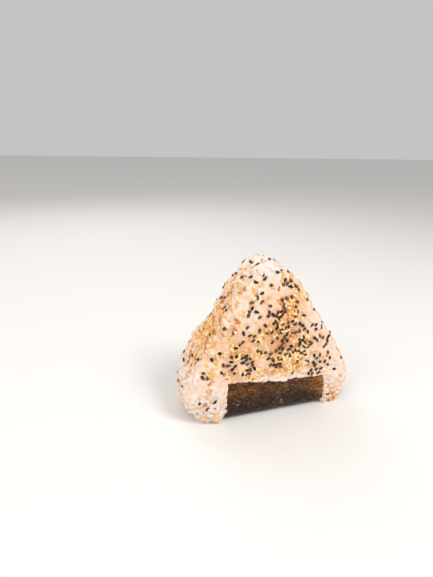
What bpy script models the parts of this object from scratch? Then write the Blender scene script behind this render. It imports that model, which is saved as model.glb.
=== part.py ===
"""An onigiri: rice pressed into a rounded triangle, with a nori strip folded round its base.

The shapes are worked out in millimetres and put into the meshes in metres.
The origin is the middle of the base, X runs along the width, -Y is the front and +Z is up.
"""
import math

import bmesh
import bpy
import numpy as np

MM = 0.001
GAP = 0.3                           # clearance between the nori and the rice

# The smooth skin of the rice
LEFT_LEAN = math.radians(30.8)      # lean of the sloping sides from upright
RIGHT_LEAN = math.radians(32.6)
PEAK = (-2.6, 99.5)                 # x and z where the sloping sides would meet, unrounded
MIDDLE = (4.0, 34.0)                # x and z of the point that the outline runs round
SINK = 3.4                          # how far the rounded base is pressed flat on the table
DEPTH = 32.4                        # thickness from front face to back face
TAPER = 0.0032                      # share of the thickness lost with each millimetre of height
OUTLINE_POWER = 2.4                 # roundness of the triangle's corners, squarer when higher
EDGE_POWER = 6.4                    # roundness of the edge between face and side
SPREAD = (49.0, 17.0, 41.0)         # half sizes that spread the mesh evenly over the body
FINENESS = 5                        # subdivisions of the icosphere, one more than its cuts

# The unevenness of packed rice: broad hollows, then clumps of a few grains
BROAD = {"height": 0.45, "length": 34.0, "waves": 9, "seed": 3}
CLUMPS = {"height": 0.30, "length": 9.0, "waves": 26, "seed": 11}

# Where the hands left more or less rice: x, y, z, radius and height of each swelling
SWELLINGS = (
    (-33.0, -16.5, 3.5, 8.0, 1.7),      # left foot, swelling out beside the nori
    (-27.5, -16.5, -0.5, 4.0, -2.6),    # its rounder inner corner
    (34.5, -16.0, 3.5, 5.5, 1.6),       # right foot
    (48.0, -13.5, 9.5, 3.2, -2.4),      # crease above it
    (-31.0, 14.5, 5.0, 9.0, 1.2),       # the same two feet at the back
    (37.0, 14.5, 5.0, 8.0, 1.2),
    (-30.5, 9.5, 52.5, 6.0, -2.0),      # hollow in the left side
    (-38.0, 12.0, 40.0, 5.0, 0.8),      # and the rice pushed out under it
    (-44.5, 10.5, 27.0, 5.0, 1.1),
    (-27.0, -13.0, 47.0, 8.0, -1.0),    # softer rim in front of it
    (-16.0, 9.0, 76.0, 3.6, -1.4),      # steps down from the top on the left
    (-4.0, 5.0, 84.5, 6.0, 1.1),        # fuller top
    (4.5, -3.0, 83.0, 4.5, -1.3),       # straighter shoulder to the right of it
    (12.0, -6.0, 76.0, 6.0, -0.9),
    (17.5, -9.0, 67.0, 4.0, -0.8),
    (23.0, -8.0, 60.0, 4.0, -0.8),
    (30.0, -11.0, 47.0, 4.0, -0.7),     # shallow hollows down the right side
    (42.0, -13.0, 29.5, 6.0, -1.3),
    (-2.0, -17.0, 25.5, 9.0, 0.5),      # rice pushed up over the nori's top edge
)

# The nori strip
NORI = 0.4                          # thickness of the moist sheet
PRESS = 1.0                         # how deep its outer face lies under the skin of the rice
BEND = 5.5                          # radius of the fold under the front and back faces
LEFT_EDGE = -27.8                   # at the table
RIGHT_EDGE = 31.0
LEFT_DRAW = 0.05                    # both edges of the front leg draw in by this much of their height
RIGHT_DRAW = 0.12
FRONT_HEIGHTS = (22.6, 17.5)        # top edge at the left and at the right
BACK_HEIGHTS = (18.6, 21.4)
RIPPLE = 0.16                       # waviness of the sheet and of its cut edges
COLUMNS = 14                        # faces across the strip
LEG_ROWS = 6                        # faces down each leg
BEND_ROWS = 6                       # faces round each fold
FLOOR_ROWS = 4                      # faces under the base
GROOVE_REACH = 9.0                  # how far the cutter stands out of the rice

RICE_COLOUR = (0.86, 0.68, 0.50, 1.0)
NORI_COLOUR = (0.075, 0.040, 0.022, 1.0)


def waves(points, length, waves, seed, height):
    """Sum of sine waves in all directions, about `height` strong and `length` long."""
    rng = np.random.default_rng(seed)
    ways = rng.normal(size=(waves, 3))
    ways /= np.linalg.norm(ways, axis=1)[:, None]
    phases = rng.uniform(0.0, 2.0 * math.pi, waves)
    steps = points @ (ways.T * 2.0 * math.pi / length) + phases
    return height * math.sqrt(2.0 / waves) * np.sin(steps).sum(axis=1)


def outline(x, rise):
    """0 at the middle of the triangle and 1 on its outline, for a place seen from the middle."""
    peak = np.subtract(PEAK, MIDDLE)
    total = np.maximum(-rise / (MIDDLE[1] + SINK), 0.0) ** OUTLINE_POWER
    for way, lean in ((-1.0, LEFT_LEAN), (1.0, RIGHT_LEAN)):
        across, up = way * math.cos(lean), math.sin(lean)
        reach = across * peak[0] + up * peak[1]
        total = total + np.maximum((across * x + up * rise) / reach, 0.0) ** OUTLINE_POWER
    return total ** (1.0 / OUTLINE_POWER)


def half_depth(rise):
    """Half the thickness of the rice at a height above its middle."""
    return DEPTH / 2 * (1.0 - TAPER * rise)


def gauge(points):
    """1 on the smooth skin, less inside and more outside."""
    x, y, z = points.T
    rise = z - MIDDLE[1]
    facing = np.abs(y) / half_depth(rise)
    return (outline(x - MIDDLE[0], rise) ** EDGE_POWER + facing ** EDGE_POWER) ** (1.0 / EDGE_POWER)


def skin(ways):
    """The point of the smooth skin that lies each way from the middle."""
    facing = np.abs(ways[:, 1]) / (DEPTH / 2)
    reach = outline(ways[:, 0], ways[:, 2]) ** EDGE_POWER + facing ** EDGE_POWER
    points = ways * reach[:, None] ** (-1.0 / EDGE_POWER)
    points[:, 1] *= 1.0 - TAPER * points[:, 2]
    points[:, 0] += MIDDLE[0]
    points[:, 2] += MIDDLE[1]
    return points


def outward(points, step=0.2):
    """Unit normals of the skin, from the slope of the gauge."""
    slopes = [gauge(points + way) - gauge(points - way) for way in np.eye(3) * step]
    normals = np.stack(slopes, axis=1)
    return normals / np.linalg.norm(normals, axis=1)[:, None]


def unevenness(points):
    """Height of the packed rice above or below its smooth skin."""
    height = waves(points, **BROAD) + waves(points, **CLUMPS)
    for x, y, z, radius, swell in SWELLINGS:
        away = np.linalg.norm(points - (x, y, z), axis=1)
        height += swell * np.exp(-(away / radius) ** 2)
    return height


def add_object(name, bm, collection, material=None):
    """Turns a bmesh into an object of the given collection."""
    mesh = bpy.data.meshes.new(name)
    bm.to_mesh(mesh)
    bm.free()
    obj = bpy.data.objects.new(name, mesh)
    collection.objects.link(obj)
    if material:
        mesh.materials.append(material)
    return obj


def make_material(name, colour, roughness):
    """A plain finish of one colour."""
    material = bpy.data.materials.new(name)
    material.use_nodes = True
    shader = material.node_tree.nodes["Principled BSDF"]
    shader.inputs["Base Color"].default_value = colour
    shader.inputs["Roughness"].default_value = roughness
    shader.inputs["Metallic"].default_value = 0.0
    return material


def move_vertices(bm, points):
    """Puts the vertices of a bmesh at points given in millimetres."""
    for vertex, point in zip(bm.verts, points * MM):
        vertex.co = point


def make_rice(collection, material):
    """The pressed heap: an icosphere carried out to the uneven skin, flat where it stands."""
    bm = bmesh.new()
    bmesh.ops.create_icosphere(bm, subdivisions=FINENESS, radius=1.0)
    ways = np.array([vertex.co for vertex in bm.verts]) * SPREAD
    ways /= np.linalg.norm(ways, axis=1)[:, None]
    points = skin(ways)
    points += outward(points) * unevenness(points)[:, None]
    points[:, 2] = np.maximum(points[:, 2], 0.0)
    move_vertices(bm, points)
    return add_object("rice", bm, collection, material)


def strip_rows(front, back, inset):
    """The strip's section: y and z down the front leg, under the base and up the back leg.

    The outer face is moved in by `inset`. Each row holds one value for each column.
    """
    ends = np.ones_like(front)
    bend = BEND - inset
    foot = half_depth(BEND - MIDDLE[1]) - PRESS - BEND
    rows = []
    for share in np.linspace(1.0, 0.0, LEG_ROWS, endpoint=False):
        z = BEND + (front - BEND) * share
        rows.append((inset + PRESS - half_depth(z - MIDDLE[1]), z))
    for angle in np.linspace(0.0, math.pi / 2, BEND_ROWS, endpoint=False):
        rows.append((-(foot + bend * math.cos(angle)) * ends, (BEND - bend * math.sin(angle)) * ends))
    for share in np.linspace(-1.0, 1.0, FLOOR_ROWS, endpoint=False):
        rows.append((foot * share * ends, inset * ends))
    for angle in np.linspace(math.pi / 2, 0.0, BEND_ROWS, endpoint=False):
        rows.append(((foot + bend * math.cos(angle)) * ends, (BEND - bend * math.sin(angle)) * ends))
    for share in np.linspace(0.0, 1.0, LEG_ROWS + 1):
        z = BEND + (back - BEND) * share
        rows.append((half_depth(z - MIDDLE[1]) - PRESS - inset, z))
    return np.array([row[0] for row in rows]), np.array([row[1] for row in rows])


def strip_surface(inset, grow):
    """One face of the strip on a grid of rows and columns, moved in and grown past its edges."""
    across = np.linspace(0.0, 1.0, COLUMNS + 1)
    heights = [low + (high - low) * across for low, high in (FRONT_HEIGHTS, BACK_HEIGHTS)]
    heights[0] = heights[0] + RIPPLE * np.sin(15.0 * across + 0.6)
    heights[1] = heights[1] + RIPPLE * np.sin(13.0 * across + 2.0)
    y, z = strip_rows(heights[0] + grow, heights[1] + grow, inset)
    front_rise = np.where(y < 0.0, np.maximum(z - BEND, 0.0), 0.0)
    left = LEFT_EDGE - grow + LEFT_DRAW * front_rise + RIPPLE * np.sin(0.5 * z)
    right = RIGHT_EDGE + grow - RIGHT_DRAW * front_rise + RIPPLE * np.sin(0.4 * z + 1.0)
    x = left + (right - left) * across
    slack = RIPPLE * np.clip((z - BEND) / BEND, 0.0, 1.0)
    y = y + slack * np.sin(0.31 * x + 0.35 * z)
    return np.stack([x, y, z], axis=2).reshape(-1, 3)


def strip_sheet(inset, grow):
    """An open sheet of faces over one face of the strip, facing out of the rice."""
    rows = 2 * (LEG_ROWS + BEND_ROWS) + FLOOR_ROWS
    bm = bmesh.new()
    bmesh.ops.create_grid(bm, x_segments=COLUMNS, y_segments=rows, size=1.0)
    bm.verts.ensure_lookup_table()
    grid = np.array([vertex.co for vertex in bm.verts])
    column = np.rint((grid[:, 0] + 1.0) / 2.0 * COLUMNS).astype(int)
    row = np.rint((grid[:, 1] + 1.0) / 2.0 * rows).astype(int)
    move_vertices(bm, strip_surface(inset, grow)[row * (COLUMNS + 1) + column])
    bmesh.ops.reverse_faces(bm, faces=bm.faces)
    return bm


def make_nori(collection, material):
    """The nori strip, as thick as the moist sheet."""
    nori = add_object("nori", strip_sheet(inset=0.0, grow=0.0), collection, material)
    wall = nori.modifiers.new("thickness", "SOLIDIFY")
    wall.thickness = NORI * MM
    wall.offset = -1.0
    return nori


def cut_groove(rice, collection):
    """Presses the bed of the nori into the rice, with the gap all round it."""
    groove = add_object("groove", strip_sheet(inset=NORI + GAP, grow=GAP), collection)
    wall = groove.modifiers.new("reach", "SOLIDIFY")
    wall.thickness = GROOVE_REACH * MM
    wall.offset = 1.0
    groove.hide_render = True
    groove.display_type = "WIRE"
    cut = rice.modifiers.new("groove", "BOOLEAN")
    cut.operation = "DIFFERENCE"
    cut.solver = "EXACT"
    cut.object = groove


def shade(obj, angle=math.radians(40.0)):
    """Smooth shading that keeps the real edges sharp."""
    obj.data.shade_smooth()
    obj.data.set_sharp_from_angle(angle=angle)


def main():
    for obj in list(bpy.data.objects):
        bpy.data.objects.remove(obj, do_unlink=True)
    parts = bpy.data.collections.new("onigiri")
    cutters = bpy.data.collections.new("cutters")
    bpy.context.scene.collection.children.link(parts)
    bpy.context.scene.collection.children.link(cutters)
    rice = make_rice(parts, make_material("rice", RICE_COLOUR, 0.45))
    nori = make_nori(parts, make_material("nori", NORI_COLOUR, 0.5))
    cut_groove(rice, cutters)
    shade(rice)
    shade(nori)


main()
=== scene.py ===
import math

import bpy
import numpy as np
from mathutils import Matrix, Vector


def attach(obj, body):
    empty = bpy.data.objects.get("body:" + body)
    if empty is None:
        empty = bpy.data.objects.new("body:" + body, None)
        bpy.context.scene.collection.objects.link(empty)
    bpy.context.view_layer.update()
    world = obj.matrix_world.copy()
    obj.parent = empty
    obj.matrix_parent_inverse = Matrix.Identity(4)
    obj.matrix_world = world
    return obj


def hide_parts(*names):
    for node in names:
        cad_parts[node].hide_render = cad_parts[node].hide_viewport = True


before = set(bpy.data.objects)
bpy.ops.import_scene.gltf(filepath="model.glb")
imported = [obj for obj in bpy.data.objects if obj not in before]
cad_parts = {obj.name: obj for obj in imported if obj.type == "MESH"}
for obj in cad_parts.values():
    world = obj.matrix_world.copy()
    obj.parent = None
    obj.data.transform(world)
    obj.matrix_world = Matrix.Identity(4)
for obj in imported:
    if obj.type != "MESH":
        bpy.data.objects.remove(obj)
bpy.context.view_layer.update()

mm = 0.001      # the shapes are worked out in millimetres

riceBody = {
    "leftLean": 30.8,               # lean of the sloping sides from upright, in degrees
    "rightLean": 32.6,
    "peak": (-2.6, 99.5),           # x and z where the sloping sides would meet, unrounded
    "middle": (4.0, 34.0),          # x and z of the point that the outline runs round
    "sink": 3.4,                    # how far the rounded base is pressed flat
    "depth": 32.4,                  # thickness from face to face
    "taper": 0.0032,                # share of it lost with each millimetre of height
    "outlinePower": 2.4,            # corners of the triangle, squarer when higher
    "edgePower": 6.4,               # edge between face and side
    "broad": {"height": 0.45, "length": 34.0, "count": 9, "seed": 3},
    "clumps": {"height": 0.30, "length": 9.0, "count": 26, "seed": 11},
    "swellings": (                  # x, y, z, radius and height
        (-33.0, -16.5, 3.5, 8.0, 1.7),      # left foot, beside the nori
        (-27.5, -16.5, -0.5, 4.0, -2.6),
        (34.5, -16.0, 3.5, 5.5, 1.6),       # right foot
        (48.0, -13.5, 9.5, 3.2, -2.4),      # crease above it
        (-31.0, 14.5, 5.0, 9.0, 1.2),       # the feet at the back
        (37.0, 14.5, 5.0, 8.0, 1.2),
        (-30.5, 9.5, 52.5, 6.0, -2.0),      # hollow in the left side
        (-38.0, 12.0, 40.0, 5.0, 0.8),
        (-44.5, 10.5, 27.0, 5.0, 1.1),
        (-27.0, -13.0, 47.0, 8.0, -1.0),    # softer rim in front of it
        (-16.0, 9.0, 76.0, 3.6, -1.4),      # steps down from the top
        (-4.0, 5.0, 84.5, 6.0, 1.1),        # fuller top
        (4.5, -3.0, 83.0, 4.5, -1.3),
        (12.0, -6.0, 76.0, 6.0, -0.9),
        (17.5, -9.0, 67.0, 4.0, -0.8),
        (23.0, -8.0, 60.0, 4.0, -0.8),
        (30.0, -11.0, 47.0, 4.0, -0.7),     # hollows down the right side
        (42.0, -13.0, 29.5, 6.0, -1.3),
        (-2.0, -17.0, 25.5, 9.0, 0.5),      # rice over the nori's top edge
    ),
}


def ease(low, high, value):
    # 0 below low, 1 above high and the cubic 3t^2 - 2t^3 between them
    share = np.clip((value - low) / (high - low), 0.0, 1.0)
    return share * share * (3.0 - 2.0 * share)


def waveSum(points, height, length, count, seed):
    # sum of sine waves of one length in random directions, about height strong
    rng = np.random.default_rng(seed)
    ways = rng.normal(size=(count, 3))
    ways /= np.linalg.norm(ways, axis=1)[:, None]
    phases = rng.uniform(0.0, 2.0 * math.pi, count)
    return height * math.sqrt(2.0 / count) * np.sin(points @ (ways.T * 2.0 * math.pi / length) + phases).sum(axis=1)


def outlineShare(x, rise):
    # power sum of how far the place lies towards each of the triangle's three sides, 1 on its outline
    middle, power = riceBody["middle"], riceBody["outlinePower"]
    peak = np.subtract(riceBody["peak"], middle)
    total = np.maximum(-rise / (middle[1] + riceBody["sink"]), 0.0) ** power
    for way, lean in ((-1.0, riceBody["leftLean"]), (1.0, riceBody["rightLean"])):
        across, up = way * math.cos(math.radians(lean)), math.sin(math.radians(lean))
        total = total + np.maximum((across * x + up * rise) / (across * peak[0] + up * peak[1]), 0.0) ** power
    return total ** (1.0 / power)


def halfDepth(rise):
    # half the thickness, a straight line in the height above the middle
    return riceBody["depth"] / 2 * (1.0 - riceBody["taper"] * rise)


def gauge(points):
    # power sum of the share of the outline and the share of the thickness, 1 on the smooth skin
    power = riceBody["edgePower"]
    rise = points[:, 2] - riceBody["middle"][1]
    facing = np.abs(points[:, 1]) / halfDepth(rise)
    return (outlineShare(points[:, 0] - riceBody["middle"][0], rise) ** power + facing ** power) ** (1.0 / power)


def skin(ways):
    # each way from the middle, stretched until the gauge is 1
    power = riceBody["edgePower"]
    facing = np.abs(ways[:, 1]) / (riceBody["depth"] / 2)
    reach = outlineShare(ways[:, 0], ways[:, 2]) ** power + facing ** power
    points = ways * reach[:, None] ** (-1.0 / power)
    points[:, 1] *= 1.0 - riceBody["taper"] * points[:, 2]
    points[:, 0] += riceBody["middle"][0]
    points[:, 2] += riceBody["middle"][1]
    return points


def slope(points, step=0.2):
    # gradient of the gauge, by central differences
    return np.stack([gauge(points + way) - gauge(points - way) for way in np.eye(3) * step], axis=1) / (2 * step)


def outward(points):
    # unit normals, along the gradient
    normals = slope(points)
    return normals / np.linalg.norm(normals, axis=1)[:, None]


def unevenness(points):
    # broad waves, waves of a few grains and a bell curve for each swelling
    height = waveSum(points, **riceBody["broad"]) + waveSum(points, **riceBody["clumps"])
    for x, y, z, radius, swell in riceBody["swellings"]:
        height += swell * np.exp(-(np.linalg.norm(points - (x, y, z), axis=1) / radius) ** 2)
    return height


def frontSkin(x, z):
    # y of the smooth skin in front of x and z: -(half the thickness) (1 - outline share^p)^(1/p)
    power = riceBody["edgePower"]
    rise = z - riceBody["middle"][1]
    facing = np.maximum(1.0 - outlineShare(x - riceBody["middle"][0], rise) ** power, 0.0) ** (1.0 / power)
    return -halfDepth(rise) * facing


def onSkin(points):
    # places of the smooth skin on the rays from the middle through the given points
    ways = points - (riceBody["middle"][0], 0.0, riceBody["middle"][1])
    ways[:, 1] /= 1.0 - riceBody["taper"] * ways[:, 2]
    return skin(ways)


def onRice(points):
    # the same places moved along their normals by the unevenness, and the normals
    places = onSkin(points)
    normals = outward(places)
    return places + normals * unevenness(places)[:, None], normals


def heightAbove(points):
    # distance out of the uneven skin: (gauge - 1) / slope, less the unevenness there
    steep = slope(points)
    size = np.linalg.norm(steep, axis=1)
    return (gauge(points) - 1.0) / size - unevenness(points), steep / size[:, None]


riceStains = (                      # x, y, z, radius and strength: amber where soy sauce soaked in, white where below 0
    (1.0, -16.0, 45.0, 8.0, 1.0),
    (4.0, -16.0, 35.0, 8.0, 0.70),
    (7.0, -15.0, 62.0, 9.0, 0.50),
    (12.0, -16.0, 48.0, 7.0, 0.35),
    (-1.0, -16.0, 57.0, 7.0, 0.35),
    (-22.0, -16.0, 40.0, 7.0, 0.55),
    (-9.0, -16.0, 49.0, 5.0, 0.40),
    (-25.0, -16.0, 25.5, 5.0, 0.75),
    (-12.0, -16.0, 33.0, 6.0, 0.20),
    (-38.0, -3.0, 48.0, 13.0, 0.50),
    (-24.0, 0.0, 68.0, 9.0, 0.10),
    (-18.0, -16.0, 58.0, 7.0, -0.50),
    (-14.0, -16.0, 49.0, 3.0, -0.40),
    (-4.0, -6.0, 83.0, 15.0, -0.90),
    (24.0, -15.0, 52.0, 9.0, -0.35),
    (38.0, -14.0, 24.0, 10.0, -0.55),
    (-36.0, -12.0, 14.0, 13.0, -0.90),
    (-36.0, -10.0, 2.0, 8.0, -0.60),
    (-42.0, 0.0, 26.0, 10.0, -0.85),
    (40.0, -6.0, 6.0, 12.0, -0.80),
    (-6.0, -17.0, 20.5, 4.5, -0.90),        # the rim over the nori
    (-17.0, -17.0, 21.5, 4.0, -0.60),
    (2.0, -17.0, 22.0, 4.5, -0.45),
    (12.0, -17.0, 19.5, 5.0, -0.70),
    (-8.0, 16.0, 54.0, 10.0, 0.60),         # the back
    (8.0, 16.0, 40.0, 11.0, 0.90),
    (-18.0, 16.0, 33.0, 8.0, 0.45),
    (24.0, 15.0, 33.0, 8.0, 0.40),
    (-36.0, 12.0, 12.0, 12.0, -0.80),
    (40.0, 12.0, 12.0, 12.0, -0.80),
    (30.0, 4.0, 50.0, 8.0, 0.35),           # the right side
    (42.0, 4.0, 30.0, 8.0, 0.25),
)


def stainAt(points):
    # sum of the bell curves of the stains
    stain = np.zeros(len(points))
    for x, y, z, radius, strength in riceStains:
        stain += strength * np.exp(-(np.linalg.norm(points - (x, y, z), axis=1) / radius) ** 2)
    return np.clip(stain, -1.0, 1.0)


def pieceFrom(name, points, faces, spread=None, smooth=True):
    # a mesh object in metres from points in millimetres and a list of face arrays
    mesh = bpy.data.meshes.new(name)
    mesh.from_pydata((points * mm).tolist(), [], [row for part in faces for row in part.tolist()])
    for label, values in (spread or {}).items():
        mesh.attributes.new(label, "FLOAT", "POINT").data.foreach_set("value", np.asarray(values, np.float32))
    mesh.polygons.foreach_set("use_smooth", np.full(len(mesh.polygons), smooth))
    mesh.update()
    piece = bpy.data.objects.new(name, mesh)
    bpy.context.scene.collection.objects.link(piece)
    return piece


# The strip of nori: legs up the front and back faces, folded under the base

noriStrip = {
    "thickness": 0.4,
    "press": 1.0,                   # how deep its outer face lies under the skin of the rice
    "bend": 5.5,                    # radius of the fold
    "left": -27.8, "right": 31.0,   # edges at the table
    "leftDraw": 0.05, "rightDraw": 0.12,        # how they draw in up the front
    "front": (22.6, 17.5), "back": (18.6, 21.4),    # top edge at the left and at the right
    "step": 0.42,
    "waves": {"height": 0.15, "length": 5.5, "count": 20, "seed": 5},
    "fibres": {"height": 0.07, "length": 1.8, "count": 40, "seed": 8},
    "edgeWaves": {"height": 0.22, "length": 5.0, "count": 12, "seed": 9},
    "creases": (                    # on the front: x, z, half length, half width and height
        (-15.0, 20.6, 6.0, 0.5, 0.5), (-21.5, 16.6, 2.5, 0.5, 0.5), (-18.0, 15.4, 4.0, 0.4, 0.35),
        (24.0, 16.0, 2.0, 0.8, 0.3),
    ),
}


def stripEdges(y, z):
    # left and right edge of the strip beside a place
    rise = np.where(y < 0.0, np.maximum(z - noriStrip["bend"], 0.0), 0.0)
    left = noriStrip["left"] + noriStrip["leftDraw"] * rise
    right = noriStrip["right"] - noriStrip["rightDraw"] * rise
    return left, right


def stripTop(x, front):
    # straight line from the height at the left edge to the height at the right
    low, high = noriStrip["front"] if front else noriStrip["back"]
    return low + (high - low) * (x - noriStrip["left"]) / (noriStrip["right"] - noriStrip["left"])


def underStrip(points):
    # how far a place lies inside the strip's outline, negative outside it
    x, y, z = points.T
    left, right = stripEdges(y, z)
    top = np.where(y < 0.0, stripTop(x, True), stripTop(x, False))
    return np.minimum(np.minimum(x - left, right - x), top - z)


def makeNori():
    # section: line down the front leg, quarter circle, line under the base, quarter circle, line up the back
    s = noriStrip
    bend = s["bend"]
    foot = halfDepth(bend - riceBody["middle"][1]) - s["press"] - bend
    columns = int((s["right"] - s["left"]) / s["step"])
    across = np.linspace(0.0, 1.0, columns + 1)
    x0 = s["left"] + (s["right"] - s["left"]) * across
    legRows, bendRows, floorRows = int(20 / s["step"]), int(1.57 * bend / s["step"]), int(2 * foot / s["step"])
    rows = []
    for t in np.linspace(1.0, 0.0, legRows, endpoint=False):
        z = bend + (stripTop(x0, True) - bend) * t
        rows.append((s["press"] - halfDepth(z - riceBody["middle"][1]), z))
    for a in np.linspace(0.0, math.pi / 2, bendRows, endpoint=False):
        rows.append((-(foot + bend * math.cos(a)) + 0 * x0, bend * (1 - math.sin(a)) + 0 * x0))
    for t in np.linspace(-1.0, 1.0, floorRows, endpoint=False):
        rows.append((foot * t + 0 * x0, 0 * x0))
    for a in np.linspace(math.pi / 2, 0.0, bendRows, endpoint=False):
        rows.append((foot + bend * math.cos(a) + 0 * x0, bend * (1 - math.sin(a)) + 0 * x0))
    for t in np.linspace(0.0, 1.0, legRows + 1):
        z = bend + (stripTop(x0, False) - bend) * t
        rows.append((halfDepth(z - riceBody["middle"][1]) - s["press"], z))
    y, z = np.array([row[0] for row in rows]), np.array([row[1] for row in rows])
    left, right = stripEdges(y, z)
    ragged = waveSum(np.stack([0 * z, y, z], axis=2).reshape(-1, 3), **s["edgeWaves"]).reshape(z.shape)
    x = left + (right - left) * across + ragged * np.abs(2 * across - 1) ** 6 * np.sign(across - 0.5)
    grid = np.stack([x, y, z], axis=2)
    topWave = waveSum(np.stack([x0, 0 * x0, 0 * x0], axis=1), **s["edgeWaves"])
    lift = ease(14.0, 20.0, z) * topWave
    grid[..., 2] += lift
    # normals of the smooth sheet, by differences along rows and columns
    down, over = np.gradient(grid, axis=0), np.gradient(grid, axis=1)
    normals = np.cross(down, over)
    normals /= np.linalg.norm(normals, axis=2)[..., None]
    flat = grid.reshape(-1, 3)
    free = ease(1.0, 6.0, z).reshape(-1)
    bumps = (waveSum(flat, **s["waves"]) + waveSum(flat, **s["fibres"])) * free
    for x, z, length, width, height in s["creases"]:
        crease = np.exp(-((flat[:, 0] - x) / length) ** 2 - ((flat[:, 2] - z) / width) ** 2)
        bumps += height * crease * (flat[:, 1] < 0.0)
    points = flat + normals.reshape(-1, 3) * bumps[:, None]
    points[:, 2] = np.maximum(points[:, 2], 0.02)
    index = np.arange(len(points)).reshape(grid.shape[:2])
    quads = np.stack([index[:-1, :-1], index[1:, :-1], index[1:, 1:], index[:-1, 1:]], axis=-1).reshape(-1, 4)
    piece = pieceFrom("noriStrip", points, [quads])
    wall = piece.modifiers.new("thickness", "SOLIDIFY")
    wall.thickness = s["thickness"] * mm
    wall.offset = -1.0
    return piece


# The core: everything behind the grains

riceCore = {
    "halves": (49.0, 17.0, 41.0),
    "step": 0.54,
    "noriDepth": 3.0,
    "glue": 0.16,                   # how far the tops of the grains stand out of it
    "soft": 0.15,                   # roundness of the gaps between grains
    "lowest": -1.1,                 # bottom of the widest gaps
    "hollowDepth": 0.9,
    "cell": 12.0,                   # size of the blocks that the tops are worked out in
    "relief": {"height": 0.05, "length": 3.2, "count": 40, "seed": 17},
}


def looseness(points, normals):
    # 0 where the face is pressed flat, up to 1 where grains stand free
    x, y, z = points.T
    side = 1.0 - ease(0.40, 0.82, np.abs(normals[:, 1]))
    feet = (1.0 - ease(7.0, 17.0, z)) * ease(24.0, 30.0, np.abs(x - 1.5))
    over = 1.0 - ease(0.5, 4.5, -underStrip(points))
    return np.clip(0.50 * side + 0.85 * feet + 0.35 * over, 0.0, 1.0)


def boxSkin(counts):
    # each face of a box is a grid of two parameters with shared borders, and places run from -1 to 1
    places, quads, total = [], [], 0
    for axis in range(3):
        one, two = (axis + 1) % 3, (axis + 2) % 3
        i, j = np.meshgrid(np.arange(counts[one] + 1), np.arange(counts[two] + 1), indexing="ij")
        for end in (0, counts[axis]):
            place = np.zeros(i.shape + (3,), int)
            place[..., axis], place[..., one], place[..., two] = end, i, j
            index = np.arange(i.size).reshape(i.shape) + total
            face = np.stack([index[:-1, :-1], index[1:, :-1], index[1:, 1:], index[:-1, 1:]], axis=-1).reshape(-1, 4)
            places.append(place.reshape(-1, 3))
            quads.append(face if end else face[:, ::-1])
            total += i.size
    places, quads = np.concatenate(places), np.concatenate(quads)
    places, inverse = np.unique(places, axis=0, return_inverse=True)
    return places * 2.0 / np.array(counts) - 1.0, inverse.reshape(-1)[quads]


def coreGrid():
    # places and normals of the skin on the box's grids, with the share of the area that each stands for
    c = riceCore
    ways, quads = boxSkin([int(2 * half / c["step"]) for half in c["halves"]])
    places, normals = onRice(ways * c["halves"] + (riceBody["middle"][0], 0.0, riceBody["middle"][1]))
    corners = places[quads]
    areas = np.linalg.norm(np.cross(corners[:, 2] - corners[:, 0], corners[:, 3] - corners[:, 1]), axis=1) / 2
    share = np.bincount(quads.reshape(-1), np.repeat(areas / 4, 4), len(places))
    return places, normals, quads, share


def grainTops(places, laid):
    # soft maximum k log(sum(exp(height / k))) of the grains' tops over each place; a top is half an ellipsoid;
    # with the tone of the grains weighted by exp(height / k), and how far no one grain outweighs the others
    soft, cell = riceCore["soft"], riceCore["cell"]
    laid = {key: values[~laid["proud"]] for key, values in laid.items()}
    half = laid["sizes"] / 2.0
    top = laid["level"] + laid["freedom"]
    tops, tones, seams = np.zeros((3, len(places)))
    _, cells = np.unique(np.floor(places / cell), axis=0, return_inverse=True)
    cells = cells.reshape(-1)
    for number in range(cells.max() + 1):
        mine = np.flatnonzero(cells == number)
        part = places[mine]
        middle = (part.min(axis=0) + part.max(axis=0)) / 2
        near = np.flatnonzero(np.abs(laid["centres"] - middle).max(axis=1) < cell / 2 + 3.6)
        away = part[:, None, :] - laid["centres"][near]
        along = np.einsum("ijk,jk->ij", away, laid["lengthways"][near])
        aside = np.einsum("ijk,jk->ij", away, laid["sideways"][near])
        across = np.einsum("ijk,jk->ij", away, laid["normals"][near])
        left = 1.0 - (along / half[near, 0]) ** 2 - (aside / half[near, 1]) ** 2
        height = half[near, 2] * np.sqrt(np.maximum(left, 0.0)) - laid["buried"][near] + along * laid["lean"][near]
        height = np.minimum(height, top[near])
        weight = np.where((left > 0.0) & (np.abs(across) < 3.0), np.exp(height / soft), 0.0)
        total = weight.sum(axis=1) + math.exp(riceCore["lowest"] / soft)
        tops[mine] = soft * np.log(total)
        tones[mine] = weight @ laid["tone"][near] / total
        seams[mine] = 1.0 - weight.max(axis=1, initial=0.0) / total
    return tops, tones, seams


def makeCore(grid, laid):
    # the skin moved to the soft maximum of the grains' tops, less the glue, and back behind the nori
    c = riceCore
    places, normals, quads, share = grid
    under = ease(-0.6, 1.0, underStrip(places))
    tops, tones, seams = grainTops(places, laid)
    height = tops - c["glue"] + waveSum(places, **c["relief"])
    points = places + normals * (height + (-c["noriDepth"] - height) * under)[:, None]
    points[:, 2] = np.maximum(points[:, 2], 0.15 + 1.1 * under)
    looks = {"tone": tones, "seam": seams, "hollow": hollowness(height), "stain": stainAt(points)}
    return pieceFrom("riceCore", points, [quads], looks)


def hollowness(height):
    # 0 at the skin and above it, 1 in the deepest gaps
    return np.clip(-height / riceCore["hollowDepth"], 0.0, 1.0)


# Shapes that are strewn over the rice

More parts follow.
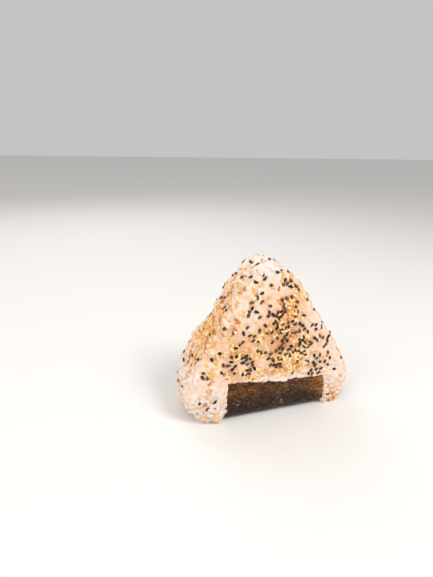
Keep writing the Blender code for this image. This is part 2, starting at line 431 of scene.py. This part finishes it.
def knob(profile, sides):
    # rings of the given radii at x = -cos(a), for even steps of a, closed by a point at each end
    turn = np.arange(sides) * 2 * math.pi / sides
    ring = np.stack([0 * turn, np.cos(turn), np.sin(turn)], axis=1)
    rings = ring[None] * np.array(profile)[:, None, None]
    rings[..., 0] = -np.cos(np.linspace(0.0, math.pi, len(profile) + 2))[1:-1, None]
    points = np.concatenate([[[-1.0, 0.0, 0.0]], rings.reshape(-1, 3), [[1.0, 0.0, 0.0]]])
    i = np.arange(sides)
    j = (i + 1) % sides
    starts = 1 + sides * np.arange(len(profile) - 1)[:, None]
    quads = np.stack([starts + i, starts + j, starts + sides + j, starts + sides + i], axis=-1).reshape(-1, 4)
    last = 1 + sides * (len(profile) - 1)
    firstCap = np.stack([0 * i, j + 1, i + 1], axis=1)
    lastCap = np.stack([last + i, last + j, 0 * i + last + sides], axis=1)
    return points, quads, np.concatenate([firstCap, lastCap])


def strew(shape, places, lengthways, normals, sizes):
    # every copy of the shape: its x along lengthways, its z along the normal, scaled and put at its place
    points, quads, tris = shape
    sideways = np.cross(normals, lengthways)
    turned = np.stack([lengthways, sideways, normals], axis=1)
    copies = np.einsum("nij,njk->nik", points[None] * sizes[:, None, :] / 2.0, turned) + places[:, None, :]
    offset = np.arange(len(places))[:, None, None] * len(points)
    return copies, (quads[None] + offset).reshape(-1, 4), (tris[None] + offset).reshape(-1, 3)


def apart(points, gaps, rounds, firm=None):
    # neighbours nearer than the mean of their gaps push each other along the smooth skin, all but the firm ones
    points = onSkin(points)
    gap = (gaps[:, None] + gaps) / 2.0
    for _ in range(rounds):
        away = points[:, None, :].astype(np.float32) - points[None].astype(np.float32)
        distance = np.linalg.norm(away, axis=2) + 1e-6
        push = 0.3 * np.clip(gap / distance - 1.0, 0.0, 1.5)
        np.fill_diagonal(push, 0.0)
        move = np.einsum("ij,ijk->ik", push, away)
        move = move * np.minimum(1.0, 0.5 * gaps / (np.linalg.norm(move, axis=1) + 1e-6))[:, None]
        points = onSkin(points + (move if firm is None else move * ~firm[:, None]))
    return points


def tangents(normals, rng):
    # random directions along the skin
    free = rng.normal(size=normals.shape)
    flat = free - (free * normals).sum(axis=1)[:, None] * normals
    return flat / np.linalg.norm(flat, axis=1)[:, None]


riceGrains = {
    "count": 2380,
    "seed": 21,
    "length": (5.2, 6.8), "width": (2.6, 3.2), "thickness": (2.0, 2.4),
    "gap": 3.0,                     # spacing that the grains are pushed to
    "profile": (0.54, 0.90, 1.0, 0.92, 0.58),
    "sides": 8,
    "levelSpread": 0.14,            # how unevenly their tops are pressed on the faces
    "looseLift": 0.85,
    "squash": 0.12,                 # share of the half thickness pressed flat on the faces
    "tilt": 15.0,                   # lean of the loose ones, in degrees
    "proudShare": (0.06, 0.55),     # share that stand free of the others: on the faces, and more where loose
    "proudLift": 0.12,
}


def layGrains(places, share):
    # where every grain lies: its middle on the skin, its directions, sizes and height
    g = riceGrains
    rng = np.random.default_rng(g["seed"])
    share = share * (underStrip(places) < 0.2)
    chosen = rng.choice(len(places), g["count"], replace=False, p=share / share.sum())
    centres, normals = onRice(apart(places[chosen], np.full(len(chosen), g["gap"]), 24))
    keep = underStrip(centres) < 0.2
    centres, normals = centres[keep], normals[keep]
    count = len(centres)
    loose = looseness(centres, normals)
    tilt = np.radians(rng.normal(0.0, 1.0, count) * (2.0 + g["tilt"] * loose))
    flat = tangents(normals, rng)
    sizes = np.stack([rng.uniform(*g[key], count) for key in ("length", "width", "thickness")], axis=1)
    level = rng.normal(0.0, 1.0, count) * g["levelSpread"] + g["looseLift"] * loose * rng.uniform(-0.8, 1.0, count)
    buried = sizes[:, 2] / 2 * (1.0 - g["squash"] * (1.0 - loose)) - level
    return {
        "centres": centres, "normals": normals, "lengthways": flat, "sideways": np.cross(normals, flat),
        "sizes": sizes, "level": level, "loose": loose, "freedom": 0.9 * loose, "buried": buried, "lean": np.tan(tilt),
        "tilt": tilt, "tone": rng.uniform(-1.0, 1.0, count),
        "proud": rng.uniform(0.0, 1.0, count) < g["proudShare"][0] + g["proudShare"][1] * loose,
    }


def makeGrains(laid):
    # the grains that stand free, with what would reach above their level pressed down to it
    g = riceGrains
    laid = {key: values[laid["proud"]] for key, values in laid.items()}
    tilt = laid["tilt"][:, None]
    lengthways = laid["lengthways"] * np.cos(tilt) + laid["normals"] * np.sin(tilt)
    upright = laid["normals"] * np.cos(tilt) - laid["lengthways"] * np.sin(tilt)
    shape = knob(g["profile"], g["sides"])
    middles = laid["centres"] + laid["normals"] * (g["proudLift"] - laid["buried"])[:, None]
    copies, quads, tris = strew(shape, middles, lengthways, upright, laid["sizes"])
    points = copies.reshape(-1, 3)
    height, ways = heightAbove(points)
    limit = np.repeat(laid["level"] + laid["freedom"] + g["proudLift"], len(shape[0]))
    limit = limit + (-1.5 - limit) * ease(-0.5, 0.7, underStrip(points))
    points = points - ways * np.maximum(height - limit, 0.0)[:, None]
    points[:, 2] = np.maximum(points[:, 2], 0.03)
    tone = np.repeat(laid["tone"], len(shape[0]))
    looks = {"tone": tone, "hollow": hollowness(np.minimum(height, limit)), "stain": stainAt(points)}
    return pieceFrom("riceGrains", points, [quads, tris], looks)


# Sesame seeds: clusters on the front are x, z, spread and number; those anywhere are x, y, z, spread and number

sesame = {
    "length": (2.4, 3.0), "width": (1.3, 1.6), "thickness": (0.55, 0.85),
    "blackWidth": 1.15,             # how much broader the black ones are
    "profile": (0.34, 0.72, 0.97, 0.98, 0.60),      # drop-shaped: narrow first
    "sides": 8,
    "seed": 33,
    "gap": (1.2, 2.0),              # each seed keeps its own distance
    "blackGap": (1.8, 3.0),
    "lift": 0.12,                   # height of a seed's middle above the skin
    "black": (
        (-10, 82, 0.5, 1), (-9, 79, 0.5, 1), (-8, 77, 0.3, 1), (-13, 76, 0.3, 1), (-1, 80, 1.0, 2), (-5, 74, 0.3, 1),
        (2, 76, 1.0, 3), (5, 73, 1.2, 3), (9, 72, 0.3, 1), (11, 70, 0.3, 1), (-10, 70, 0.3, 1), (-12, 68, 0.3, 1),
        (-15, 66, 0.3, 1), (-10, 66, 0.3, 1), (1, 65, 0.3, 1), (4, 66, 0.3, 1), (7, 67, 0.3, 1), (10, 64, 0.3, 1),
        (-5, 63, 0.3, 1), (2, 63, 0.8, 2), (9, 62, 0.3, 1), (18, 64, 1.0, 2), (-16, 62, 0.6, 2), (-13, 61, 0.3, 1),
        (-17, 59, 0.3, 1), (-11, 58, 0.3, 1), (-5, 59, 1.1, 3), (-2, 58, 0.3, 1), (0, 60, 0.8, 2), (2, 59, 0.3, 1),
        (11, 59, 0.3, 1), (10, 56, 0.3, 1), (15, 56, 0.3, 1), (22, 58, 0.3, 1), (2, 56, 1.2, 2), (-2, 54, 1.0, 2),
        (0, 52, 1.0, 2), (3, 50, 1.0, 2), (5, 52, 0.9, 3), (7, 54, 0.5, 1), (9, 52, 0.3, 1), (12, 51, 0.3, 1),
        (14, 50, 0.3, 1), (-8, 53, 0.3, 1), (-18, 53, 0.3, 1), (-11, 51, 0.3, 1), (-28, 53, 0.3, 1), (-25, 50, 0.3, 1),
        (-20, 50, 0.3, 1), (-15, 49, 0.8, 2), (-14, 46, 0.8, 2), (-7, 49, 0.3, 1), (-4, 49, 0.3, 1), (4, 47, 0.9, 2),
        (1, 48, 0.3, 1), (9, 47, 0.8, 2), (12, 48, 0.3, 1), (16, 48, 0.9, 2), (21, 49, 0.9, 2), (23, 48, 0.3, 1),
        (27, 48, 0.3, 1), (-22, 43, 0.8, 2), (-20, 45, 0.3, 1), (-2, 44, 0.9, 2), (1, 43, 1.2, 2), (3, 42, 1.2, 2),
        (15, 43, 0.8, 3), (22, 43, 0.9, 2), (25, 43, 0.3, 1), (28, 42, 0.5, 1), (31, 42, 0.8, 2), (-32, 40, 0.3, 1),
        (-36, 37, 0.3, 1), (-9, 39, 1.0, 2), (0, 39, 1.2, 2), (2, 38, 0.9, 2), (7, 39, 0.8, 2), (13, 40, 0.9, 2),
        (16, 39, 1.1, 2), (19, 39, 0.9, 2), (-26, 37, 0.8, 2), (-23, 38, 0.3, 1), (-19, 35, 1.1, 4), (-17, 33, 0.3, 1),
        (-15, 34, 0.8, 2), (-30, 34, 0.3, 1), (-27, 33, 0.3, 1), (-24, 31, 0.9, 3), (-4, 36, 0.7, 2), (-1, 34, 1.2, 3),
        (1, 32, 0.9, 2), (-3, 31, 0.8, 2), (0, 30, 0.7, 2), (2, 29, 0.3, 1), (5, 35, 0.3, 1), (8, 35, 1.3, 3),
        (12, 36, 0.3, 1), (15, 35, 0.8, 2), (19, 36, 1.2, 3), (12, 30, 0.3, 1), (18, 29, 0.3, 1), (29, 37, 0.7, 2),
        (31, 33, 0.3, 1), (24, 31, 1.0, 3), (23, 27, 0.3, 1), (27, 28, 0.3, 1), (29, 28, 0.3, 1), (32, 29, 0.3, 1),
        (31, 25, 0.3, 1), (-31, 30, 0.3, 1), (-38, 27, 0.3, 1), (-40, 29, 0.3, 1), (-13, 31, 0.7, 2), (-19, 28, 0.7, 2),
        (-16, 28, 0.9, 3), (21, 22, 0.9, 3), (25, 24, 0.7, 2), (28, 21, 0.7, 2), (37, 21, 0.3, 1), (9, 24, 0.3, 1),
        (-34, 14, 0.3, 1), (-38, 10, 0.3, 1), (-42, 14, 0.3, 1), (-40, 28, 0.3, 1), (33, 6, 0.3, 1), (41, 27, 0.3, 1),
    ),
    "blackAround": (
        (-29, 0, 55, 6.0, 3), (-40, 4, 36, 6.0, 4), (-46, 0, 20, 4.0, 2), (-5, 0, 83, 5.0, 4), (22, 0, 62, 7.0, 5),
        (34, 0, 44, 7.0, 6), (42, 0, 30, 6.0, 5), (-8, 15, 60, 9.0, 18), (8, 15, 48, 9.0, 34), (-12, 16, 38, 9.0, 26),
        (22, 16, 34, 8.0, 22), (2, 16, 30, 12.0, 26), (-26, 16, 28, 6.0, 8), (0, 14, 74, 5.0, 8), (36, 14, 16, 4.0, 4),
        (-34, 15, 12, 4.0, 4),
    ),
    "golden": (
        (-8, 74, 0.5, 1), (-14, 72, 1.0, 3), (-3, 72, 1.0, 2), (2, 78, 1.5, 4), (7, 74, 1.5, 4), (9, 69, 1.5, 4),
        (-13, 67, 1.0, 2), (-9, 68, 1.0, 2), (16, 66, 1.0, 3), (8, 66, 2.0, 7), (0, 66, 1.5, 4), (2, 62, 2.0, 5),
        (5, 64, 2.0, 6), (7, 60, 2.0, 5), (-18, 61, 0.8, 2), (-15, 64, 0.5, 1), (6, 57, 2.0, 6), (11, 54, 2.0, 5),
        (1, 54, 1.8, 9), (-6, 56, 1.5, 2), (-25, 59, 1.5, 3), (-22, 52, 2.0, 5), (-28, 49, 1.5, 4), (-13, 48, 1.8, 6),
        (-9, 48, 1.5, 5), (-6, 51, 1.5, 3), (0, 48, 2.0, 5), (6, 47, 2.0, 6), (10, 44, 2.0, 4), (-17, 43, 1.5, 4),
        (-23, 41, 1.5, 5), (-19, 40, 1.0, 3), (-27, 40, 1.5, 3), (-24, 38, 1.5, 4), (-12, 37, 1.3, 5), (-9, 37, 1.3, 5),
        (-13, 42, 1.5, 2), (18, 41, 1.5, 5), (16, 38, 1.5, 4), (10, 37, 2.0, 5), (14, 38, 1.0, 3), (2, 35, 1.5, 5),
        (4, 33, 1.5, 6), (8, 32, 2.0, 6), (13, 32, 2.0, 7), (6, 30, 2.0, 6), (9, 28, 2.0, 6), (12, 27, 1.8, 5),
        (6, 26, 1.8, 4), (15, 25, 1.5, 5), (19, 27, 1.0, 3), (-1, 28, 1.5, 2), (-9, 28, 1.5, 4), (-13, 26, 1.5, 4),
        (-19, 31, 1.5, 2), (-19, 26, 1.3, 3), (-14, 25, 1.3, 3), (0, 25, 1.3, 3), (3, 24, 1.0, 1), (22, 35, 1.5, 4),
        (28, 30, 1.5, 4), (-28, 27, 1.5, 4), (-36, 31, 2.0, 5), (-33, 36, 2.0, 5), (-38, 30, 1.5, 4), (-31, 22, 0.5, 1),
        (-38, 20, 2.0, 5), (-40, 14, 2.0, 4), (-36, 9, 2.5, 6), (-33, 4, 1.5, 3), (33, 12, 2.0, 3), (35, 4, 1.5, 4),
        (38, 3, 1.5, 3), (41, 18, 1.0, 1), (33, 52, 0.5, 1),
    ),
    "goldenAround": (
        (-20, 0, 72, 5.0, 24), (-28, -2, 58, 6.0, 40), (-34, -2, 49, 5.0, 55), (-40, -1, 40, 5.5, 50),
        (-42, -2, 31, 5.0, 16), (-46, -6, 22, 4.0, 4),
        (-6, 0, 83, 5.0, 4), (12, 0, 76, 6.0, 7), (24, 0, 58, 7.0, 9), (36, 0, 40, 7.0, 11), (45, 0, 22, 6.0, 6),
        (-6, 15, 62, 10.0, 24), (6, 15, 46, 10.0, 38), (-14, 16, 34, 9.0, 32), (22, 16, 32, 9.0, 28), (0, 14, 76, 6.0, 8),
        (-34, 15, 14, 6.0, 10), (38, 15, 14, 5.0, 8),
    ),
}


def clusterPlaces(rows, rng):
    # normal spread round each centre; rows without a y lie on the front
    rows = [row if len(row) == 5 else (row[0], None, *row[1:]) for row in rows]
    number = [row[4] for row in rows]
    centres = np.repeat([(x, y or 0.0, z) for x, y, z, _, _ in rows], number, axis=0)
    places = centres + rng.normal(size=centres.shape) * np.repeat([row[3] for row in rows], number)[:, None]
    inFront = np.repeat([row[1] is None for row in rows], number)
    places[inFront, 1] = frontSkin(places[inFront, 0], places[inFront, 2])
    return places


def makeSeeds():
    s = sesame
    rng = np.random.default_rng(s["seed"])
    black = np.concatenate([clusterPlaces(s["black"], rng), clusterPlaces(s["blackAround"], rng)])
    golden = np.concatenate([clusterPlaces(s["golden"], rng), clusterPlaces(s["goldenAround"], rng)])
    black = apart(black, rng.uniform(*s["blackGap"], len(black)), 4)
    isBlack = np.arange(len(black) + len(golden)) < len(black)
    places = apart(np.concatenate([black, golden]), rng.uniform(*s["gap"], len(isBlack)), 5, firm=isBlack)
    places, normals = onRice(places)
    keep = (underStrip(places) < -1.0) & (places[:, 2] > 1.0)
    places, normals, isBlack = places[keep], normals[keep], isBlack[keep]
    count = len(places)
    loose = looseness(places, normals)
    flat = tangents(normals, rng)
    tilt = np.radians(rng.normal(0.0, 9.0, count))[:, None]
    lengthways = flat * np.cos(tilt) + normals * np.sin(tilt)
    upright = normals * np.cos(tilt) - flat * np.sin(tilt)
    sizes = np.stack([rng.uniform(*s[key], count) for key in ("length", "width", "thickness")], axis=1)
    sizes[isBlack, 1] *= s["blackWidth"]
    lift = s["lift"] + 0.35 * loose + rng.normal(0.0, 0.08, count)
    places = places + normals * lift[:, None]
    tone = rng.uniform(0.0, 1.0, count)
    shape = knob(s["profile"], s["sides"])
    made = []
    for name, those in (("blackSesame", isBlack), ("toastedSesame", ~isBlack)):
        copies, quads, tris = strew(shape, places[those], lengthways[those], upright[those], sizes[those])
        points = copies.reshape(-1, 3)
        points[:, 2] = np.maximum(points[:, 2], 0.05)
        made.append(pieceFrom(name, points, [quads, tris], {"tone": np.repeat(tone[those], len(shape[0]))}))
    return made


# Materials

class Wire:
    # A socket that sums and products can be written with
    def __init__(self, finish, socket):
        self.finish, self.socket = finish, socket

    def join(self, operation, first, second, clamp=False):
        settings = {"operation": operation, "use_clamp": clamp}
        return self.finish.node("ShaderNodeMath", settings, {0: first, 1: second})

    def __add__(self, other):
        return self.join("ADD", self, other)

    def __radd__(self, other):
        return self.join("ADD", other, self)

    def __sub__(self, other):
        return self.join("SUBTRACT", self, other)

    def __rsub__(self, other):
        return self.join("SUBTRACT", other, self)

    def __mul__(self, other):
        return self.join("MULTIPLY", self, other)

    def __rmul__(self, other):
        return self.join("MULTIPLY", other, self)

    def __truediv__(self, other):
        return self.join("DIVIDE", self, other)

    def __pow__(self, other):
        return self.join("POWER", self, other)

    def clamped(self):
        return self.join("ADD", self, 0.0, clamp=True)


class Finish:
    # A material, its main shader and the nodes in front of it
    def __init__(self, name):
        self.material = bpy.data.materials.new(name)
        self.material.use_nodes = True
        self.tree = self.material.node_tree
        self.shader = self.tree.nodes["Principled BSDF"]

    def feed(self, socket, value):
        if isinstance(value, Wire):
            self.tree.links.new(value.socket, socket)
        else:
            socket.default_value = value

    def node(self, kind, settings=None, sockets=None, output=0):
        made = self.tree.nodes.new(kind)
        for name, value in (settings or {}).items():
            if name == "stops":
                ramp = made.color_ramp
                while len(ramp.elements) < len(value):
                    ramp.elements.new(0.5)
                for element, (place, colour) in zip(ramp.elements, value):
                    element.position, element.color = place, colour
            else:
                setattr(made, name, value)
        for name, value in (sockets or {}).items():
            self.feed(made.inputs[name], value)
        return Wire(self, made.outputs[output])

    def own(self, **values):
        for name, value in values.items():
            self.feed(self.shader.inputs[name], value)

    def place(self):
        return self.node("ShaderNodeTexCoord", output="Object")

    def axes(self):
        made = self.node("ShaderNodeSeparateXYZ", sockets={0: self.place()})
        return [Wire(self, socket) for socket in made.socket.node.outputs]

    def noise(self, size, detail=2.0, roughness=0.5, stretch=None):
        # 0 to 1, with features about the given size in millimetres
        where = self.place()
        if stretch:
            where = self.node("ShaderNodeVectorMath", {"operation": "MULTIPLY"}, {0: where, 1: stretch})
        sockets = {"Vector": where, "Scale": 1.0 / (size * mm), "Detail": detail, "Roughness": roughness}
        return self.node("ShaderNodeTexNoise", sockets=sockets)

    def between(self, value, low, high):
        # 0 below low, 1 above high
        sockets = {0: value, 1: low, 2: high, 3: 0.0, 4: 1.0}
        return self.node("ShaderNodeMapRange", {"interpolation_type": "SMOOTHSTEP"}, sockets)

    def mix(self, factor, first, second, way="MIX"):
        settings = {"data_type": "RGBA", "blend_type": way}
        return self.node("ShaderNodeMix", settings, {0: factor, 6: first, 7: second}, output=2)

    def attribute(self, name):
        return self.node("ShaderNodeAttribute", {"attribute_name": name}, output="Fac")

    def bump(self, height, distance, strength=1.0):
        return self.node("ShaderNodeBump", sockets={"Strength": strength, "Distance": distance * mm, "Height": height})


def paint(red, green, blue):
    # screen colour to the linear one that shaders take
    share = np.array([red, green, blue]) / 255.0
    linear = np.where(share <= 0.04045, share / 12.92, ((share + 0.055) / 1.055) ** 2.4)
    return (*linear.tolist(), 1.0)


riceFinish = {
    "stops": (                      # colours from the whitest rice to the rice most soaked with sauce
        (0.00, (238, 227, 221)),
        (0.36, (243, 214, 190)),
        (0.62, (234, 193, 152)),
        (0.95, (207, 152, 90)),
    ),
    "hollow": (232, 178, 124),      # in the gaps between grains: sauce gathered there, and painted shade
    "roughness": 0.24,
    "subsurface": 0.8,
    "coreReach": 0.5, "grainReach": 0.35,        # how far light spreads inside, in millimetres
}


def riceMaterial(name, reach):
    r = riceFinish
    f = Finish(name)
    stain = f.attribute("stain")
    patches = f.noise(13.0, 3.0, 0.6) * 0.45 + f.noise(3.2, 3.0, 0.65) * 0.6 - 0.525
    tone = f.attribute("tone")
    soak = stain * 0.42 + 0.40 + patches + tone * 0.09
    ramp = [(place, paint(*colour)) for place, colour in r["stops"]]
    colour = f.node("ShaderNodeValToRGB", {"stops": ramp}, {0: soak})
    hollow = f.attribute("hollow")
    # painted shade in the gaps and along the seams between grains, mixed with the amber of gathered sauce, stronger
    # where stained
    between = (hollow + f.attribute("seam") * 0.35) * (0.55 + stain * 0.45)
    colour = f.mix(between.clamped(), colour, paint(*r["hollow"]))
    # painted shade: the rice darker towards the table, fading out by 24 mm up
    shadeNearTable = 1.0 - f.between(f.axes()[2], 0.0, 0.024)
    shade = 0.98 - tone * 0.03 - f.between(f.noise(1.6, 2.0), 0.35, 0.75) * 0.05 - shadeNearTable * 0.08
    colour = f.mix(1.0, colour, f.node("ShaderNodeCombineXYZ", sockets={0: shade, 1: shade, 2: shade}), "MULTIPLY")
    f.own(**{"Base Color": colour, "Subsurface Weight": r["subsurface"], "Subsurface Scale": reach * mm})
    f.own(**{"Subsurface Radius": (1.0, 0.92, 0.84), "Roughness": r["roughness"], "Specular IOR Level": 0.42})
    f.own(Normal=f.bump(f.noise(1.3, 3.0, 0.6), 0.15, 0.4))
    return f.material


seedFinish = {
    "black": ((32, 18, 9), (108, 76, 50)),
    "toasted": ((252, 222, 170), (241, 180, 102), (200, 122, 52)),
}


def blackSeedMaterial():
    f = Finish("blackSesame")
    dark, light = (paint(*colour) for colour in seedFinish["black"])
    # lighter grey-brown patches, by noise and each seed's tone: the seeds' own mottling and a painted highlight
    grey = f.between(f.noise(0.7, 3.0) * 0.7 + f.attribute("tone") * 0.4, 0.35, 0.85)
    f.own(**{"Base Color": f.mix(grey, dark, light), "Roughness": 0.42, "Normal": f.bump(f.noise(0.5), 0.06)})
    f.own(**{"Specular IOR Level": 0.3})
    return f.material


def toastedSeedMaterial():
    f = Finish("toastedSesame")
    cream, gold, brown = (paint(*colour) for colour in seedFinish["toasted"])
    tone = f.attribute("tone")
    colour = f.mix(f.between(tone + f.noise(1.2) * 0.3, 0.25, 0.75), cream, gold)
    colour = f.mix(f.between(tone + f.noise(1.0) * 0.3, 0.92, 1.12), colour, brown)
    f.own(**{"Base Color": colour, "Roughness": 0.4, "Normal": f.bump(f.noise(0.5), 0.05)})
    f.own(**{"Subsurface Weight": 0.2, "Subsurface Scale": 0.0006})
    return f.material


noriFinish = {
    "dark": (32, 17, 5),
    "brown": (104, 66, 28),
    "rust": (166, 106, 52),
    "glint": (190, 154, 122),
    # colours of the painted shade on the lower part of the strip
    "shadedLowDark": (24, 16, 9),
    "shadedLowBrown": (74, 50, 34),
    "roughness": 0.46,
}


def noriMaterial():
    n = noriFinish
    f = Finish("nori")
    x, y, z = f.axes()
    blotch = f.noise(3.3, 6.0, 0.78, stretch=(0.85, 1.0, 1.1))
    fibre = f.noise(0.8, 4.0, 0.7, stretch=(0.7, 1.0, 1.1))
    rusty = (f.between(x + f.noise(8.0) * 0.02, 0.026, 0.044) * 0.10).clamped()
    mottle = blotch * 0.5 + fibre * 0.55
    colour = f.mix(f.between(mottle + rusty, 0.43, 0.60), paint(*n["dark"]), paint(*n["brown"]))
    colour = f.mix(f.between(blotch * 0.45 + fibre * 0.55 + rusty, 0.54, 0.64), colour, paint(*n["rust"]))
    # painted shade: below about 12 to 20 mm up, lower at the rusty right end, the strip darker and greyer where it
    # bends under
    below = f.mix(f.between(mottle, 0.46, 0.64), paint(*n["shadedLowDark"]), paint(*n["shadedLowBrown"]))
    low = 1.0 - f.between(z + f.noise(5.0, 3.0) * 0.008 + rusty * 0.10, 0.012, 0.020)
    colour = f.mix(low, colour, below)
    # painted glints: pale specks in the colour where fine noise peaks
    glints = f.between(f.noise(0.9, 3.0, 0.65, stretch=(0.45, 1.0, 1.3)) * 0.6 + f.noise(7.0, 2.0) * 0.4, 0.585, 0.65)
    colour = f.mix(glints * 0.7, colour, paint(*n["glint"]))
    f.own(**{"Base Color": colour, "Roughness": n["roughness"] + f.noise(3.0, 3.0) * 0.3 - 0.15})
    f.own(**{"Specular IOR Level": 0.2})
    f.own(Normal=f.bump(blotch * 0.6 + fibre * 0.6, 0.5, 0.9))
    return f.material


# Studio

studio = {
    "place": (-0.09261, -0.18850, 0.14203),
    "turn": 18.559, "dip": 19.968, "roll": 1.464,       # degrees
    "lens": 25.814,
    "sky": 0.56,
    "floor": (0.80, 0.79, 0.78, 1.0),
    "lamps": (          # name, place, size, watts, colour
        ("key", (0.30, -0.38, 0.62), 0.30, 3.4, (1.0, 0.97, 0.94)),
        ("fill", (-0.60, -0.25, 0.42), 0.6, 2.4, (1.0, 0.97, 0.95)),
        ("back", (-0.1, 0.5, 0.5), 0.5, 1.2, (1.0, 0.98, 0.96)),
    ),
}


def makeCamera():
    # columns of the matrix: sideways, up and back, turned, dipped and rolled
    turn, dip, roll = (math.radians(studio[key]) for key in ("turn", "dip", "roll"))
    ahead = Vector((math.sin(turn) * math.cos(dip), math.cos(turn) * math.cos(dip), -math.sin(dip)))
    right = Vector((math.cos(turn), -math.sin(turn), 0.0))
    up = right.cross(ahead)
    sideways = math.cos(roll) * right + math.sin(roll) * up
    top = math.cos(roll) * up - math.sin(roll) * right
    data = bpy.data.cameras.new("camera")
    data.lens = studio["lens"]
    data.clip_start = 0.01
    camera = bpy.data.objects.new("camera", data)
    camera.matrix_world = Matrix.Translation(studio["place"]) @ Matrix((sideways, top, -ahead)).transposed().to_4x4()
    bpy.context.scene.collection.objects.link(camera)
    bpy.context.scene.camera = camera


def makeStudio():
    floor = pieceFrom("floor", np.array([(-3e3, -3e3, 0), (3e3, -3e3, 0), (3e3, 3e3, 0), (-3e3, 3e3, 0)]), [np.array([[0, 1, 2, 3]])])
    finish = Finish("floor")
    finish.own(**{"Base Color": studio["floor"], "Roughness": 0.7})
    floor.data.materials.append(finish.material)
    world = bpy.data.worlds.new("sky")
    world.use_nodes = True
    world.node_tree.nodes["Background"].inputs["Color"].default_value = (1.0, 0.985, 0.97, 1.0)
    world.node_tree.nodes["Background"].inputs["Strength"].default_value = studio["sky"]
    bpy.context.scene.world = world
    for name, place, size, watts, colour in studio["lamps"]:
        lamp = bpy.data.lights.new(name, "AREA")
        lamp.size, lamp.energy, lamp.color = size, watts, colour
        holder = bpy.data.objects.new(name, lamp)
        holder.matrix_world = Matrix.Translation(place) @ (-Vector(place) + Vector((0, 0, 0.04))).to_track_quat("-Z", "Y").to_matrix().to_4x4()
        bpy.context.scene.collection.objects.link(holder)
    bpy.context.scene.view_settings.view_transform = "Standard"


makeCamera()
makeStudio()
print("studio ready")

grid = coreGrid()
laid = layGrains(grid[0], grid[3])
core = makeCore(grid, laid)
print("core:", len(core.data.polygons), "faces")
grains = makeGrains(laid)
print("grains:", len(laid["level"]), "laid,", laid["proud"].sum(), "of them loose")
black, toasted = makeSeeds()
print("seeds:", len(black.data.polygons) + len(toasted.data.polygons), "faces")
nori = makeNori()
print("nori:", len(nori.data.polygons), "faces")

rice = riceMaterial("rice", riceFinish["coreReach"])
looseRice = riceMaterial("looseRice", riceFinish["grainReach"])
for piece, material, node, slot in (
    (core, rice, "rice", "rice"),
    (grains, looseRice, "rice", "rice"),
    (black, blackSeedMaterial(), None, "black_sesame"),
    (toasted, toastedSeedMaterial(), None, "toasted_sesame"),
    (nori, noriMaterial(), "nori", "nori"),
):
    piece.data.materials.append(material)
    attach(piece, "root")
    if node:
        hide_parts(node)
print("materials ready")
